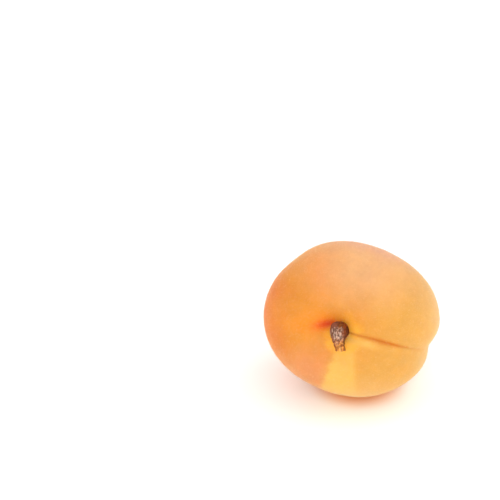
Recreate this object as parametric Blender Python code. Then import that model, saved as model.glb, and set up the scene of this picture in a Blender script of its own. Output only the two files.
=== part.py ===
"""An apricot lying on its cheek, with the stub of its stem in the hollow at its end.

Two pieces: the fruit, one solid body of skin and flesh, and the woody stub. Both are shaped upright, with
the stem end towards +Z and the groove towards +X, and both hang from one empty that lays the fruit down.
"""

import math

import bmesh
import bpy
import numpy as np
from mathutils import Matrix, Vector

# The fruit's body
WIDTH = 0.0500  # from the groove across to the back
THICKNESS = 0.0438  # from cheek to cheek
LENGTH = 0.0465  # from the stem end to the tip
SHOULDER = 0.030  # how much fuller the stem end is than the tip, as a share of the radius
SQUARENESS = 0.015  # how much flatter than an ellipse both ends are, as a share of the radius
OVAL_HEIGHT = 0.00035  # a slow bulge with two crests round the fruit
OVAL_CREST = math.radians(38)
CORNER_HEIGHT = 0.0003  # a bulge with four crests round the fruit
CORNER_CREST = math.radians(34)

# Where the fruit grew flatter: how much, the angles from the stem end and from the groove, the spread
FLAT_PLACES = (
    (0.0008, math.radians(127), math.radians(-57), math.radians(32)),  # the cheek that it lies on
    (0.0005, math.radians(84), math.radians(152), math.radians(14)),  # the far side's shoulder
)

# The groove: a fine crease along the middle of a shallow valley, which deepens down the fruit's side
CREASE_DEPTH = 0.0007
CREASE_WIDTH = 0.0008
CREASE_ROUNDING = 0.0002
VALLEY_DEPTH = 0.00055
VALLEY_WIDTH = 0.0050
GROOVE_BEND = 0.00095  # near the stem it bends aside this much
GROOVE_BEND_REACH = 0.0070
GROOVE_START = 0.0010  # from the stem's axis
GROOVE_START_LENGTH = 0.0012
GROOVE_LEAST = 0.48  # share of its first depth that it keeps far from the stem end
GROOVE_REACH = math.radians(55)  # how far from the stem end it stays as deep as at first
SIDE_DEPTH = 0.0012  # how much deeper the valley is down the fruit's side
SIDE_WIDTH = 0.0042
SIDE_START = math.radians(72)
SIDE_START_LENGTH = math.radians(6)
SIDE_END = math.radians(140)
SIDE_END_LENGTH = math.radians(10)
GROOVE_END = math.radians(165)
GROOVE_END_LENGTH = math.radians(5)

# The hollow at the stem end, and the small point at the tip
HOLLOW_DEPTH = 0.0032
HOLLOW_SHIFT = 0.0012  # its deepest place is this far from the stem's axis, on the side away from the groove
HOLLOW_LONG = 0.0052  # along the groove
HOLLOW_SHORT = 0.0040  # across it
DIP_DEPTH = 0.0014
DIP_RADIUS = 0.0130
TIP_HEIGHT = 0.0006
TIP_RADIUS = 0.0035

# The stub of the stem: its middle line runs from the foot in its socket, up and over the hollow's rim
FOOT_RADIUS = 0.00125
SOCKET_RADIUS = 0.00170
SOCKET_DEPTH = 0.0013  # below the hollow's floor
FOOT_GAP = 0.0003
STUB_ROUTE = (
    (0.0000, 0.0000, FOOT_GAP - SOCKET_DEPTH),
    (0.0002, 0.0004, 0.0029),
    (0.0000, -0.0016, 0.0056),
    (0.0026, -0.0054, 0.0054),
)  # the control points of one curve, from the hollow's floor
STUB_PROFILE = (
    (0.0000, FOOT_RADIUS),
    (0.0016, 0.00130),
    (0.0024, 0.00165),
    (0.0034, 0.00224),
    (0.0044, 0.00240),
    (0.0056, 0.00222),
    (0.0070, 0.00170),
    (0.0086, 0.00124),
    (0.0102, 0.00108),
)  # distance along the stub, radius there

# The stub's surface
WRINKLE_PITCH = 0.00115  # the wrinkles run round it
WRINKLE_HEIGHT = 0.00016
WRINKLE_LEAN = 0.18  # how far they rise on one side, as a share of their pitch
WRINKLES_FROM = 0.0030
FLUTE_HEIGHT = 0.0001  # the wood swells in lengthwise flutes
FLUTE_COUNT = 3
KNOB_COUNT = 5
KNOB_SHARE = 0.6  # of the flutes' height
KNOB_PITCH = 0.025  # the knobs wind round the stub once in this length
BREAK_SLANT = 0.00035  # the broken end isn't square to the stub
BREAK_JAGS = 4
BREAK_JAG_SHARE = 0.4  # of the slant
BREAK_HOLLOW = 0.0004

# How the fruit lies
STEM_RISE = math.radians(22)  # the stem end points this far above the level
STEM_TURN = math.radians(-10)  # and is turned this far from -Y
FRUIT_ROLL = math.radians(-12)  # about the stem's axis
FLAT_SAG = 0.0003  # how much of the cheek the flat spot takes off

# Mesh density: for each place, how much closer the rings or corners lie there, and over what stretch
FRUIT_RINGS = 47
FRUIT_CORNERS = 88
LAST_RING = math.radians(177.5)
RINGS_AT_HOLLOW = (2.2, 0.14)
RINGS_AT_TIP = (0.8, 0.10)
CORNERS_AT_CREASE = (3.5, 0.07)
CORNERS_AT_VALLEY = (1.2, 0.30)
STUB_RINGS = 36
STUB_CORNERS = 24
TABLE_STEPS = 4000
SOCKET_STEPS = 12
SHARP_ANGLE = math.radians(40)


def remove_everything():
    for obj in list(bpy.data.objects):
        bpy.data.objects.remove(obj, do_unlink=True)


def bell(distance, reach):
    """1 at no distance, falling smoothly to nothing past the reach."""
    return np.exp(-((distance / reach) ** 2))


def step(distance, length):
    """Rises smoothly from 0 to 1 where the distance passes zero."""
    return 1.0 / (1.0 + np.exp(-distance / length))


def body_radius(polar, azimuth):
    """The fruit's radius in a direction, before its groove and hollow are made."""
    across = np.sin(polar)
    x, y, z = across * np.cos(azimuth), across * np.sin(azimuth), np.cos(polar)
    radius = 0.5 / np.sqrt((x / WIDTH) ** 2 + (y / THICKNESS) ** 2 + (z / LENGTH) ** 2)
    taper = (5 * z**3 - 3 * z) / 2
    flat_ends = (35 * z**4 - 30 * z**2 + 3) / 8
    radius = radius * (1 - SHOULDER * taper - SQUARENESS * flat_ends)
    radius = radius + OVAL_HEIGHT * across**2 * np.cos(2 * (azimuth - OVAL_CREST))
    radius = radius + CORNER_HEIGHT * across**4 * np.cos(4 * (azimuth - CORNER_CREST))
    for flattening, place_polar, place_azimuth, spread in FLAT_PLACES:
        aside = math.sin(place_polar)
        nearness = x * aside * math.cos(place_azimuth) + y * aside * math.sin(place_azimuth)
        angle = np.arccos(np.clip(nearness + z * math.cos(place_polar), -1, 1))
        radius = radius - flattening * bell(angle, spread)
    return radius


def groove_depth(x, y, polar):
    """Depth of the groove at a place beside the stem's axis and an angle from the stem end."""
    side = y + GROOVE_BEND * bell(x, GROOVE_BEND_REACH)
    from_crease = np.sqrt(side**2 + CREASE_ROUNDING**2) - CREASE_ROUNDING
    on_side = step(polar - SIDE_START, SIDE_START_LENGTH) * step(SIDE_END - polar, SIDE_END_LENGTH)
    crease = CREASE_DEPTH * np.exp(-from_crease / (CREASE_WIDTH * (1 + on_side)))
    valley = VALLEY_DEPTH * bell(side, VALLEY_WIDTH)
    deep = GROOVE_LEAST + (1 - GROOVE_LEAST) * bell(polar, GROOVE_REACH)
    start = step(x - GROOVE_START, GROOVE_START_LENGTH)
    end = step(GROOVE_END - polar, GROOVE_END_LENGTH)
    return ((crease + valley) * deep + SIDE_DEPTH * on_side * bell(side, SIDE_WIDTH)) * start * end


def hollow_depth(x, y, from_axis):
    """How far the stem end's skin is sunk along the stem's axis: a narrow hollow in a shallow dip."""
    hollow = HOLLOW_DEPTH * bell(x + HOLLOW_SHIFT, HOLLOW_LONG) * bell(y, HOLLOW_SHORT)
    return hollow + DIP_DEPTH * bell(from_axis, DIP_RADIUS)


def skin_points(polar, azimuth):
    """Points of the skin, one for each pair of angles, with the stem end up."""
    polar, azimuth = np.broadcast_arrays(polar, azimuth)
    radius = body_radius(polar, azimuth)
    from_axis = radius * np.sin(polar)
    x, y = from_axis * np.cos(azimuth), from_axis * np.sin(azimuth)
    tip = TIP_HEIGHT * bell(from_axis, TIP_RADIUS)
    sunk = np.where(polar < math.pi / 2, hollow_depth(x, y, from_axis), tip)
    radius = radius - groove_depth(x, y, polar)
    from_axis = radius * np.sin(polar)
    x, y = from_axis * np.cos(azimuth), from_axis * np.sin(azimuth)
    return np.stack([x, y, radius * np.cos(polar) - sunk], axis=-1)


def spaced(first, last, count, places):
    """Values from first to last, closer together at the given places: (where, how much, stretch)."""
    table = np.linspace(first, last, TABLE_STEPS)
    weight = 1.0 + sum(extra * bell(table - where, stretch) for where, extra, stretch in places)
    total = np.concatenate([[0.0], np.cumsum(weight)[:-1]])
    return np.interp(np.linspace(0, total[-1], count), total, table)


def add_ring(bm, points):
    return [bm.verts.new(point) for point in points]


def join_rings(bm, one, other):
    """Quads between two rings with the same number of corners."""
    for i in range(len(one)):
        j = (i + 1) % len(one)
        bm.faces.new((one[i], one[j], other[j], other[i]))


def close_ring(bm, ring, point):
    """A fan of triangles from a ring to one point."""
    middle = bm.verts.new(point)
    for i in range(len(ring)):
        bm.faces.new((ring[i], ring[(i + 1) % len(ring)], middle))


def mesh_from(bm, name):
    bmesh.ops.recalc_face_normals(bm, faces=bm.faces)
    mesh = bpy.data.meshes.new(name)
    bm.to_mesh(mesh)
    bm.free()
    mesh.shade_smooth()
    mesh.set_sharp_from_angle(angle=SHARP_ANGLE)
    return mesh


def lying_down():
    """The turn that lays the upright fruit on its cheek."""
    tip_over = math.pi / 2 - STEM_RISE
    turn = Matrix.Rotation(STEM_TURN, 4, "Z")
    return turn @ Matrix.Rotation(tip_over, 4, "X") @ Matrix.Rotation(FRUIT_ROLL, 4, "Z")


def cut_flat_spot(bm):
    """Takes the lowest FLAT_SAG off the fruit, as it lies, and closes the cut with one flat face."""
    down = lying_down().to_3x3().inverted() @ Vector((0, 0, -1))
    reach = max(vert.co.dot(down) for vert in bm.verts) - FLAT_SAG
    cut = bmesh.ops.bisect_plane(
        bm,
        geom=bm.verts[:] + bm.edges[:] + bm.faces[:],
        plane_co=down * reach,
        plane_no=down,
        clear_outer=True,
    )
    rim = [item for item in cut["geom_cut"] if isinstance(item, bmesh.types.BMEdge)]
    bmesh.ops.edgeloop_fill(bm, edges=rim)


def hollow_floor():
    """Height of the hollow's bottom on the stem's axis."""
    return float(skin_points(0.0, 0.0)[2])


def socket_rim(azimuth):
    """Polar angles at which the skin meets the socket's round wall."""
    polar = np.full_like(azimuth, SOCKET_RADIUS / hollow_floor())
    for _ in range(SOCKET_STEPS):
        point = skin_points(polar, azimuth)
        polar = polar * SOCKET_RADIUS / np.hypot(point[:, 0], point[:, 1])
    return polar


def fruit_mesh():
    """The fruit: socket, hollow, shoulders, cheeks and tip, ring by ring down the stem's axis."""
    bm = bmesh.new()
    creases = ((0.0, *CORNERS_AT_CREASE), (0.0, *CORNERS_AT_VALLEY))
    azimuth = spaced(-math.pi, math.pi, FRUIT_CORNERS + 1, creases)[:-1]
    shares = spaced(0.0, 1.0, FRUIT_RINGS, ((0.0, *RINGS_AT_HOLLOW), (1.0, *RINGS_AT_TIP)))
    rim = socket_rim(azimuth)
    rings = [add_ring(bm, skin_points(rim + (LAST_RING - rim) * share, azimuth)) for share in shares]
    floor = hollow_floor() - SOCKET_DEPTH
    corners = [(SOCKET_RADIUS * math.cos(a), SOCKET_RADIUS * math.sin(a), floor) for a in azimuth]
    seat = add_ring(bm, corners)
    join_rings(bm, seat, rings[0])
    for one, other in zip(rings, rings[1:]):
        join_rings(bm, one, other)
    close_ring(bm, seat, (0, 0, floor))
    close_ring(bm, rings[-1], skin_points(math.pi, 0.0))
    cut_flat_spot(bm)
    return mesh_from(bm, "fruit")


def route_point(t):
    """Point of the stub's middle line, t from 0 at the foot to 1 at the broken end."""
    a, b, c, d = (Vector(point) for point in STUB_ROUTE)
    u = 1 - t
    point = u**3 * a + 3 * u**2 * t * b + 3 * u * t**2 * c + t**3 * d
    return point + Vector((0, 0, hollow_floor()))


def stub_radius(along, around):
    """Radius of the stub at a distance from its foot, with its wrinkles and its flutes."""
    places, radii = zip(*STUB_PROFILE)
    radius = float(np.interp(along, places, radii))
    grown = float(step(along - WRINKLES_FROM, WRINKLE_PITCH / 4))
    wrinkle = abs(math.sin(math.pi * (along / WRINKLE_PITCH + WRINKLE_LEAN * math.sin(around))))
    winding = 2 * math.pi * along / KNOB_PITCH
    flutes = math.sin(FLUTE_COUNT * around) + KNOB_SHARE * math.sin(KNOB_COUNT * around + winding)
    return radius + grown * (WRINKLE_HEIGHT * wrinkle + FLUTE_HEIGHT * flutes)


def stub_mesh():
    """The stub: rings swept along its route, a flat foot, and a slanting, hollowed broken end."""
    bm = bmesh.new()
    line = [route_point(i / (STUB_RINGS - 1)) for i in range(STUB_RINGS)]
    along = [0.0]
    for one, other in zip(line, line[1:]):
        along.append(along[-1] + (other - one).length)
    rings = []
    side = Vector((1, 0, 0))
    for i, middle in enumerate(line):
        ahead = (line[min(i + 1, STUB_RINGS - 1)] - line[max(i - 1, 0)]).normalized()
        side = (side - ahead * side.dot(ahead)).normalized()
        other_side = ahead.cross(side)
        slant = BREAK_SLANT if i == STUB_RINGS - 1 else 0.0
        points = []
        for k in range(STUB_CORNERS):
            around = 2 * math.pi * k / STUB_CORNERS
            outward = side * math.cos(around) + other_side * math.sin(around)
            jag = slant * (math.cos(around) + BREAK_JAG_SHARE * math.cos(BREAK_JAGS * around))
            points.append(middle + outward * stub_radius(along[i], around) + ahead * jag)
        rings.append(add_ring(bm, points))
    for one, other in zip(rings, rings[1:]):
        join_rings(bm, one, other)
    close_ring(bm, rings[0], line[0])
    close_ring(bm, rings[-1], line[-1] - (line[-1] - line[-2]).normalized() * BREAK_HOLLOW)
    return mesh_from(bm, "stem")


def principled(name, colour, roughness):
    material = bpy.data.materials.new(name)
    material.use_nodes = True
    shader = material.node_tree.nodes["Principled BSDF"]
    shader.inputs["Base Color"].default_value = (*colour, 1.0)
    shader.inputs["Roughness"].default_value = roughness
    shader.inputs["Metallic"].default_value = 0.0
    return material


def skin_material():
    return principled("apricot_skin", (0.93, 0.40, 0.09), 0.55)


def wood_material():
    return principled("stem_wood", (0.20, 0.12, 0.08), 0.80)


def add_piece(name, mesh, material, pose):
    piece = bpy.data.objects.new(name, mesh)
    piece.data.materials.append(material)
    piece.parent = pose
    bpy.context.scene.collection.objects.link(piece)
    return piece


def stand_on_origin(pose, pieces):
    """Lays the fruit down and moves it so that its box stands on the origin, centred over it."""
    turned = lying_down()
    corners = [turned @ vert.co for piece in pieces for vert in piece.data.vertices]
    low = [min(corner[axis] for corner in corners) for axis in range(3)]
    high = [max(corner[axis] for corner in corners) for axis in range(3)]
    place = Vector((-(low[0] + high[0]) / 2, -(low[1] + high[1]) / 2, -low[2]))
    pose.matrix_world = Matrix.Translation(place) @ turned


def main():
    remove_everything()
    pose = bpy.data.objects.new("apricot_pose", None)
    bpy.context.scene.collection.objects.link(pose)
    fruit = add_piece("fruit", fruit_mesh(), skin_material(), pose)
    stem = add_piece("stem", stub_mesh(), wood_material(), pose)
    stand_on_origin(pose, (fruit, stem))


main()
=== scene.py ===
"""The looks of an apricot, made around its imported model.

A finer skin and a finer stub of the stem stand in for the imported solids, with the same form. A coat of
short hairs grows on the skin. A floor, two lights and a camera make up the studio.
"""

import math
from functools import reduce

import bpy
import numpy as np
from bpy.props import FloatProperty, FloatVectorProperty, IntProperty, PointerProperty
from mathutils import Matrix, Vector


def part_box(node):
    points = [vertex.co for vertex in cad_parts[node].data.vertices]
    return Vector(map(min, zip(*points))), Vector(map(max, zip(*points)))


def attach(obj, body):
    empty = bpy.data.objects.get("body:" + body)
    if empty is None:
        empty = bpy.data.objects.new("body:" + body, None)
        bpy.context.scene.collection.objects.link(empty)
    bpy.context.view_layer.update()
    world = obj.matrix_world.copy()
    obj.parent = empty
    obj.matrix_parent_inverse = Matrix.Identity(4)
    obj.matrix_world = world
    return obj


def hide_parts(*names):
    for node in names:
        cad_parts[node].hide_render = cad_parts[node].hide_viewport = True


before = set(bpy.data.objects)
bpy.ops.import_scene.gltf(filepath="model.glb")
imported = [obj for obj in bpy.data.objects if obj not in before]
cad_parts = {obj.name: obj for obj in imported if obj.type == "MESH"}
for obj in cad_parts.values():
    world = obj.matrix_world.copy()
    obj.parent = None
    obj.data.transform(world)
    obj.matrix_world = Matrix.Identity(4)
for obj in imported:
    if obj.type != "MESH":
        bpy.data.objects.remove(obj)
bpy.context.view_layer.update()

bl_info = {
    "name": "Apricot",
    "version": (1, 0, 0),
    "blender": (4, 5, 0),
    "location": "3D View > Sidebar > Apricot",
    "description": "The skin, hairs and stem of an apricot, and a studio to show it in",
    "category": "Add Mesh",
}

BODY = "root"

# The form of the fruit, as its solid has it: metres, stem end towards +Z, groove towards +X
WIDTH = 0.0500
THICKNESS = 0.0438
LENGTH = 0.0465
SHOULDER = 0.030
SQUARENESS = 0.015
OVAL_HEIGHT = 0.00035
OVAL_CREST = math.radians(38)
CORNER_HEIGHT = 0.0003
CORNER_CREST = math.radians(34)
FLAT_PLACES = (
    (0.0008, math.radians(127), math.radians(-57), math.radians(32)),
    (0.0005, math.radians(84), math.radians(152), math.radians(14)),
)
CREASE_DEPTH = 0.0007
CREASE_WIDTH = 0.0008
CREASE_ROUNDING = 0.0002
VALLEY_DEPTH = 0.00055
VALLEY_WIDTH = 0.0050
GROOVE_BEND = 0.00095
GROOVE_BEND_REACH = 0.0070
GROOVE_START = 0.0010
GROOVE_START_LENGTH = 0.0012
GROOVE_LEAST = 0.48
GROOVE_REACH = math.radians(55)
SIDE_DEPTH = 0.0012
SIDE_WIDTH = 0.0042
SIDE_START = math.radians(72)
SIDE_START_LENGTH = math.radians(6)
SIDE_END = math.radians(140)
SIDE_END_LENGTH = math.radians(10)
GROOVE_END = math.radians(165)
GROOVE_END_LENGTH = math.radians(5)
HOLLOW_DEPTH = 0.0032
HOLLOW_SHIFT = 0.0012
HOLLOW_LONG = 0.0052
HOLLOW_SHORT = 0.0040
DIP_DEPTH = 0.0014
DIP_RADIUS = 0.0130
TIP_HEIGHT = 0.0006
TIP_RADIUS = 0.0035

# The stub of the stem, as its solid has it
FOOT_DEPTH = 0.0010
STUB_ROUTE = (
    (0.0000, 0.0000, -FOOT_DEPTH),
    (0.0002, 0.0004, 0.0029),
    (0.0000, -0.0016, 0.0056),
    (0.0026, -0.0054, 0.0054),
)
STUB_PROFILE = (
    (0.0000, 0.00125),
    (0.0016, 0.00130),
    (0.0024, 0.00165),
    (0.0034, 0.00224),
    (0.0044, 0.00240),
    (0.0056, 0.00222),
    (0.0070, 0.00170),
    (0.0086, 0.00124),
    (0.0102, 0.00108),
)
WRINKLE_PITCH = 0.00115
WRINKLE_LEAN = 0.18
WRINKLE_DRIFT = 0.25
WRINKLE_DRIFT_SIZE = 0.004
WRINKLES_FROM = 0.0030
FINE_RINGS_TO_WRINKLE = 1.6
FINE_RING_LEAN = 0.45
FINE_RING_WAVER = 0.45
FINE_RING_WAVER_SIZE = 0.0016
FLUTE_COUNT = 3
KNOB_COUNT = 5
KNOB_SHARE = 0.6
KNOB_PITCH = 0.025
FIBRE_WIDTH = 0.0006
FIBRE_STRETCH = 0.75
FIBRE_AT_COLLAR = 0.3
BREAK_SLANT = 0.00035
BREAK_JAGS = 4
BREAK_JAG_SHARE = 0.4
BREAK_HOLLOW = 0.0004
BREAK_RIM = 0.0003
BREAK_RIM_SOFTNESS = 0.0001
SPLINTER_HEIGHT = 0.00012
SPLINTER_WIDTH = 0.0005
# The side of the stub that its colours darken as painted shade.
DARK_SIDE = (0.93, 0.29, -0.24)
BREAK_FACES_DARK_SIDE = 0.3

# How the fruit lies
STEM_RISE = math.radians(22)
STEM_TURN = math.radians(-10)
FRUIT_ROLL = math.radians(-12)
FLAT_ROUNDING = 0.00015

# Mesh density: for each place, how much closer the rings or corners lie there, and over what stretch
SKIN_RINGS = 254
SKIN_CORNERS = 384
RINGS_AT_HOLLOW = (1.6, 0.16)
RINGS_AT_TIP = (0.6, 0.10)
CORNERS_AT_CREASE = (3.0, 0.06)
CORNERS_AT_VALLEY = (1.0, 0.30)
STUB_RINGS = 150
STUB_CORNERS = 72
BREAK_RINGS = 8
TABLE_STEPS = 4000

# The skin's unevenness and the hairs: lengths and leans as shares of the longest hair and the usual lean
RELIEF_SIZES = (0.009, 0.004)
FINER_RELIEF_SHARE = 0.5
HAIR_LENGTHS = (0.45, 1.0)
HAIR_LEANS = (0.2, 1.6)
HAIR_ABOVE_FLOOR = 0.0001
HAIR_COLOUR_SIZE = 0.0015
HAIR_COLOUR_CUT = (0.35, 0.65)
HAIR_ROUGHNESS = (0.5, 0.65)

# Sizes of the patterns in the skin's colour and surface. A cut is where a pattern, 0 to 1, turns from
# none of a mark to all of it.
CLOUD_SIZE = 0.012
MOTTLE_SIZE = 0.0028
GRAIN_SIZE = 0.0006
SPECKLE_SIZE = 0.00045
FRECKLE_PITCH = 0.0016
DIMPLE_PITCH = 0.0009
DIMPLE_DEPTH = 0.00002
PORE_DEPTH = 0.00003
CLOUD_TONE = 0.14
MOTTLE_TONE = 0.09
SKIN_ROUGHNESS = (0.52, 0.68)
SPECKLE_CUT = (0.42, 0.60)
SPECKLE_SHARE = 0.45
BLUSH_DENSITY = 1.4
BLUSH_CUT = (0.1, 0.9)
BLUSH_STRENGTH = 0.85
FRECKLE_EDGE = (0.09, 0.05)
FRECKLED_CLOUDS = (0.35, 0.6)
FRECKLE_STRENGTH = 0.25
BLOOM_CUT = (0.35, 0.75)
BLOOM_STRENGTH = 0.04

# Where the skin's colours lie on the upright fruit, in metres from the stem's axis, or in angles from the
# stem end. A stretch is written from where there is none of the colour to where it is full.
SECTOR_WAVER = math.radians(8.6)
HEART_ANGLES = (math.radians(43), math.radians(8.6))
HEART_STRENGTH = 0.75
STRIPE_WAVER = 0.0008
STRIPE_LEFT = (-0.0001, 0.0019)
STRIPE_LEFT_SLANT = -0.10
STRIPE_LEFT_PIVOT = 0.007
STRIPE_RIGHT = (0.0066, 0.0038)
STRIPE_RIGHT_SLANT = 0.22
STRIPE_START = (-0.0020, -0.0060)
STRIPE_RIPENS = (-0.0080, -0.0112)
STRIPE_STRENGTH = (0.7, 1.0)
# The crease line is partly painted shade, and the lip below it is partly painted light on the groove's
# lower wall.
CREASE_LINE_FROM = (0.0, 0.002)
CREASE_LINE_TO = (0.0245, 0.0150)
CREASE_STRONG_FROM = (0.0040, 0.0110)
CREASE_STRONG_TO = (0.0200, 0.0120)
CREASE_LINE_WIDTH = (0.00038, 0.00070)
CREASE_LINE_STRENGTH = (0.70, 1.0)
LIP_BELOW_CREASE = 0.0017
LIP_WIDTH = 0.0012
LIP_FROM = (0.001, 0.003)
LIP_TO = (0.014, 0.008)
LIP_STRENGTH = 0.8
STAIN_SLOPE = 0.4
STAIN_PIVOT = 0.0035
STAIN_HEIGHTS = (0.0, 0.005)
STAIN_EDGE_PLACE = (-0.0052, 0.0002)
STAIN_EDGE_SIZE = (0.0064, 0.0027)
STAIN_PLACE = (-0.0038, -0.0004)
STAIN_SIZE = (0.0030, 0.0014)

# Round patches of skin, in degrees: from the stem end, round the fruit, reach, softness of the edge
# Painted light: brighter skin laid in the hollow against its shade.
HOLLOW_PAINTED_LIGHT_PATCH = (4.5, -50, 14, 5)
# Painted shade and red reflected light on the left rim in the camera's view.
FLANK_PAINTED_SHADE_PATCH = (88, -165, 38, 20)
# Painted sheen on the right rim and a painted reflection of the floor on the bottom rim.
RIM_PAINTED_SHEEN_PATCHES = ((98, 8, 30, 22), (88, -62, 30, 20))
PINK_PATCH = (92, 92, 26, 20)
CHEEK_PATCH_STRENGTH = 0.8
BLUSH_PATCH = (138, 120, 44, 22)

# Where the stub's colours lie: along it as shares of its length, and round it from -1 on the light side
# to 1 on the dark side. A stretch is written from where there is none of the colour to where it is full.
# The collar's dark brown is partly painted shade from the hollow, with a painted purple-grey sheen on its
# light side.
COLLAR_ALONG = (0.55, 0.48)
COLLAR_PAINTED_SHEEN_ROUND = (0.1, -0.5)
BARE_ALONG = (0.66, 0.84)
BARE_LEAN = 0.05
BARE_STRENGTH = 0.9
DRY_ALONG = (0.70, 0.95)
PITH_ALONG = (0.82, 0.92)
PITH_WIDTH = 0.14
PITH_STRENGTH = 0.4
# The bottoms of the wrinkles are darkened, partly as painted shade.
GROOVES_FADE_ALONG = (0.80, 0.96)
GROOVE_STRENGTH = (0.65, 0.30)
# Painted shade on the stub's dark side, along the edge of its light side, and deepest on its far side.
SIDE_PAINTED_SHADE_ROUND = (0.18, 0.60)
SIDE_PAINTED_SHADE_WAVER = 2.0
SIDE_PAINTED_SHADE_ALONG = (0.80, 0.60)
SIDE_PAINTED_SHADE_STRENGTH = 0.85
EDGE_PAINTED_SHADE_ROUND = (-0.60, -0.86)
EDGE_PAINTED_SHADE_ALONG = (0.40, 0.85)
EDGE_PAINTED_SHADE_STRENGTH = 0.9
SHADY_ROUND = (0.62, 0.88)
SHADY_STRENGTH = 0.8

# Sizes of the patterns in the stub's colour and surface
WOOD_GRAIN_SIZE = 0.0006
WOOD_FIBRE_SIZE = 0.00022
WOOD_FIBRE_DEPTH = 0.00006
WOOD_STREAK_SIZE = 0.0003
WOOD_GRIT_SIZE = 0.0004
WOOD_STRETCH = (1.0, 0.35, 0.35)
WOOD_WAVER = 0.15
WOOD_ROUGHNESS = (0.45, 0.75)
HATCH_SHARE = 0.12
WEATHERED_CUT = (0.36, 0.62)
DRYNESS = (-0.10, 0.08)
DRY_CUT = (0.40, 0.66)
GROOVE_WAVER = 0.35
GROOVE_CUT = (0.50, 0.10)
GRIT_CUT = (0.30, 0.70)
GRIT_TONE = (0.50, 1.45)

# The studio, metres from the middle of the fruit's base
FLOOR_HALF = 3.0
# A painted warm glow round the fruit, for its shadow's colour and the light it throws back.
PAINTED_GLOW_MIDDLE = (0.0022, 0.0, 0.0)
PAINTED_GLOW_REACH = (0.016, 0.006)
KEY_PLACE = (0.55, 0.15, 0.75)
FILL_PLACE = (-0.06, -0.85, 0.46)
LIGHTS_AIM = (0.0, 0.0, 0.02)
CAMERA_SHIFT = (0.00004, 0.0, -0.00023)


def linear(red, green, blue):
    """A colour given as on screen, 0 to 255, as the light that it stands for."""
    parts = (value / 255 for value in (red, green, blue))
    return tuple(v / 12.92 if v <= 0.04045 else ((v + 0.055) / 1.055) ** 2.4 for v in parts)


def colour(name, description, red, green, blue):
    """A colour for the user to set, with a default given as on screen."""
    return FloatVectorProperty(
        name=name,
        description=description,
        subtype="COLOR",
        size=3,
        min=0.0,
        max=1.0,
        default=linear(red, green, blue),
    )


def length(name, description, default):
    """A length for the user to set, in metres."""
    return FloatProperty(
        name=name,
        description=description,
        subtype="DISTANCE",
        unit="LENGTH",
        min=0.0,
        precision=6,
        default=default,
    )


def share(name, description, default):
    """A share from 0 to 1 for the user to set."""
    return FloatProperty(
        name=name, description=description, subtype="FACTOR", min=0.0, max=1.0, default=default
    )


def angle(name, description, degrees):
    """An angle for the user to set, with a default in degrees."""
    return FloatProperty(
        name=name,
        description=description,
        subtype="ANGLE",
        unit="ROTATION",
        default=math.radians(degrees),
    )


def power(name, description, default):
    """A lamp's power for the user to set, in watts."""
    return FloatProperty(name=name, description=description, unit="POWER", min=0.0, default=default)


class ApricotSkin(bpy.types.PropertyGroup):
    """Colours and surface of the skin"""

    amber: colour("Amber", "The deep orange of the cheek across from the groove", 206, 131, 42)
    rosy: colour("Rosy", "The pinker flush that ends beside the golden stripe", 209, 134, 76)
    golden: colour("Golden", "The ripe yellow stripe", 218, 169, 80)
    honey: colour("Honey", "The orange-yellow skin on both sides of the groove", 209, 152, 67)
    straw: colour("Straw", "The palest part of the upper cheek", 211, 157, 104)
    peach: colour("Peach", "The skin between the palest part and the amber", 213, 142, 80)
    heart: colour("Heart", "The skin round the hollow", 207, 135, 36)
    # Painted light: a brighter colour for the skin in the hollow, against its shade.
    hollow: colour("Hollow", "The bright skin in the hollow", 248, 176, 54)
    # Painted shade and red reflected light, laid on the left rim.
    flank_painted_shade: colour("Flank", "The deeper orange of the cheek's far side", 212, 98, 16)
    # Painted sheen on the right rim and a painted reflection of the floor on the bottom rim.
    rim_painted_sheen: colour("Cream", "The palest edges", 221, 178, 116)
    pink: colour("Pink", "The pale pink of the upper cheek's far edge", 212, 146, 114)
    blush: colour("Blush", "The red cheek that faced the sun", 200, 72, 44)
    stain: colour("Stain", "The red stain in the hollow", 208, 64, 0)
    stain_edge: colour("Stain's edge", "The orange that the stain fades into", 227, 130, 10)
    # Partly the groove's own colour, partly painted shade in the bottom of the groove.
    crease: colour("Crease", "The bottom of the groove", 200, 110, 0)
    freckle: colour("Freckle", "The small dots on the skin", 190, 96, 44)
    bloom: colour("Bloom", "The pale cast of the velvet", 255, 226, 190)
    velvet: share("Velvet", "Strength of the sheen at the rim", 0.20)
    relief: length("Relief", "Height of the skin's slow unevenness", 0.00003)
    pore: length("Pore size", "Width of the skin's finest bumps", 0.00022)


class ApricotHairs(bpy.types.PropertyGroup):
    """The coat of short hairs"""

    count: IntProperty(name="Count", description="Number of hairs", min=0, max=49000, default=48000)
    length: length("Length", "Length of the longest hairs", 0.00042)
    thickness: length("Thickness", "Width of a hair at its root", 0.00003)
    lean: share("Lean", "How far the hairs lean over, from upright to lying flat", 0.5)
    seed: IntProperty(name="Seed", description="Another seed gives another coat", default=11)
    pale: colour("Pale", "The colour of most hairs", 255, 222, 176)
    warm: colour("Warm", "The colour of some hairs", 248, 188, 122)


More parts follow.
